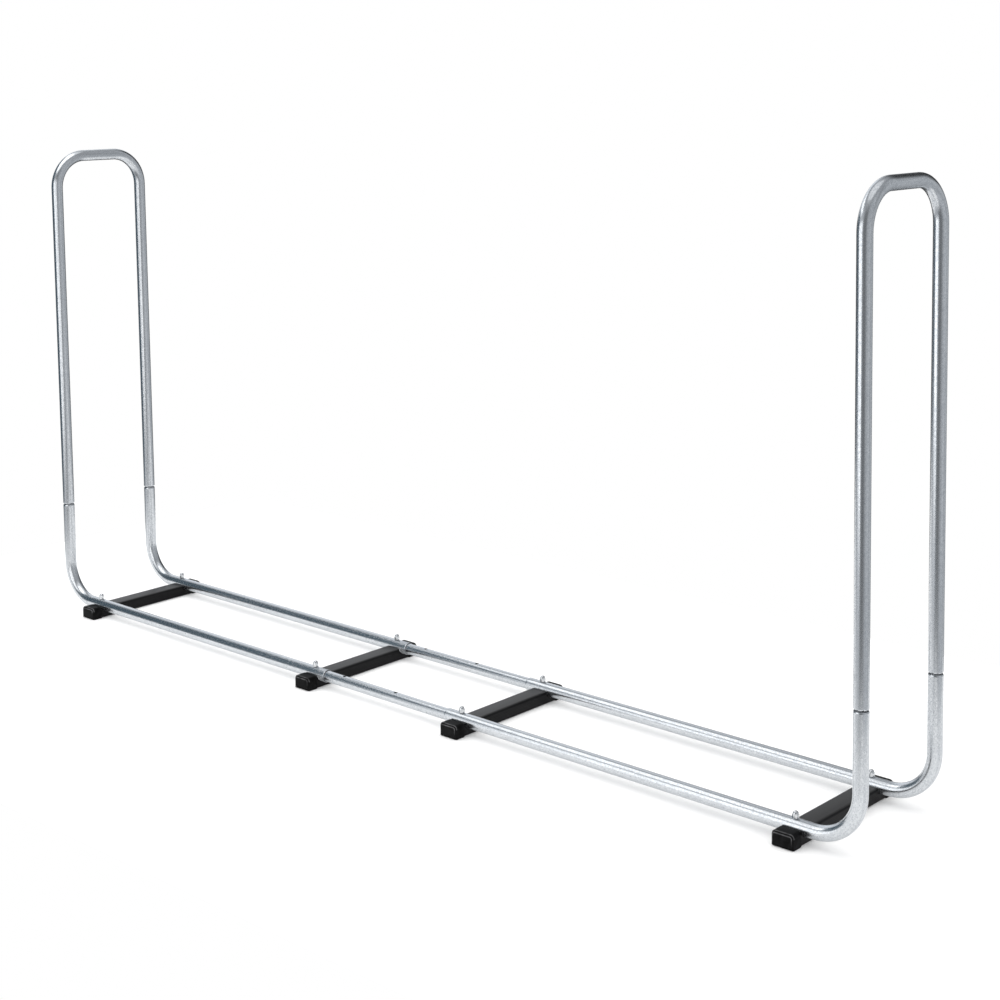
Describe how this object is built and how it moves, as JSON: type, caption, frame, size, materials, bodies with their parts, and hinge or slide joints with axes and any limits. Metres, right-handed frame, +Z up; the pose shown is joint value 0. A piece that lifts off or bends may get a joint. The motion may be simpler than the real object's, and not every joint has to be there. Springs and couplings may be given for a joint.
{
  "type": "firewood log rack",
  "caption": "Length-adjustable firewood rack of galvanised tube: tall end hoops on a telescoping base with black notched crossbars and end caps.",
  "frame": {"origin": "on the floor, under the middle of the rack's box", "axes": "+X along the rack towards its right hoop, +Y from the front rail to the rear rail, +Z up"},
  "size_m": [2.722, 0.39, 1.3485],
  "materials": {
    "galvanised_tube": "galvanised, satin with a faint spangle",
    "black_crossbar": "satin black coating",
    "black_moulded_cap": "fine moulded grain",
    "bright_zinc": "bright zinc plate"
  },
  "bodies": {
    "left_frame": {"left_front_corner_tube": "galvanised_tube", "left_rear_corner_tube": "galvanised_tube", "left_outer_crossbar": "black_crossbar", "left_outer_front_cap": "black_moulded_cap", "left_outer_front_bolt": "bright_zinc", "left_outer_front_cap_nut": "bright_zinc", "left_outer_rear_cap": "black_moulded_cap", "left_outer_rear_bolt": "bright_zinc", "left_outer_rear_cap_nut": "bright_zinc", "left_inner_crossbar": "black_crossbar", "left_inner_front_cap": "black_moulded_cap", "left_inner_front_bolt": "bright_zinc", "left_inner_front_cap_nut": "bright_zinc", "left_inner_rear_cap": "black_moulded_cap", "left_inner_rear_bolt": "bright_zinc", "left_inner_rear_cap_nut": "bright_zinc"},
    "middle_rails": {"front_middle_tube": "galvanised_tube", "rear_middle_tube": "galvanised_tube"},
    "right_frame": {"right_front_corner_tube": "galvanised_tube", "right_rear_corner_tube": "galvanised_tube", "right_outer_crossbar": "black_crossbar", "right_outer_front_cap": "black_moulded_cap", "right_outer_front_bolt": "bright_zinc", "right_outer_front_cap_nut": "bright_zinc", "right_outer_rear_cap": "black_moulded_cap", "right_outer_rear_bolt": "bright_zinc", "right_outer_rear_cap_nut": "bright_zinc", "right_inner_crossbar": "black_crossbar", "right_inner_front_cap": "black_moulded_cap", "right_inner_front_bolt": "bright_zinc", "right_inner_front_cap_nut": "bright_zinc", "right_inner_rear_cap": "black_moulded_cap", "right_inner_rear_bolt": "bright_zinc", "right_inner_rear_cap_nut": "bright_zinc"},
    "left_hoop": {"left_hoop": "galvanised_tube"},
    "right_hoop": {"right_hoop": "galvanised_tube"}
  },
  "joints": [
    {"name": "left_telescope", "type": "slide", "parent": "left_frame", "child": "middle_rails", "axis": [-1, 0, 0], "range_m": [0, 0.11], "deforming": ["left_inner_front_bolt", "left_inner_rear_bolt"]},
    {"name": "right_telescope", "type": "slide", "parent": "middle_rails", "child": "right_frame", "axis": [-1, 0, 0], "range_m": [0, 0.225], "deforming": ["right_inner_front_bolt", "right_inner_rear_bolt"]},
    {"name": "left_hoop_lift", "type": "slide", "parent": "left_frame", "child": "left_hoop", "axis": [0, 0, 1], "range_m": [0, 0.07]},
    {"name": "right_hoop_lift", "type": "slide", "parent": "right_frame", "child": "right_hoop", "axis": [0, 0, 1], "range_m": [0, 0.07]}
  ]
}
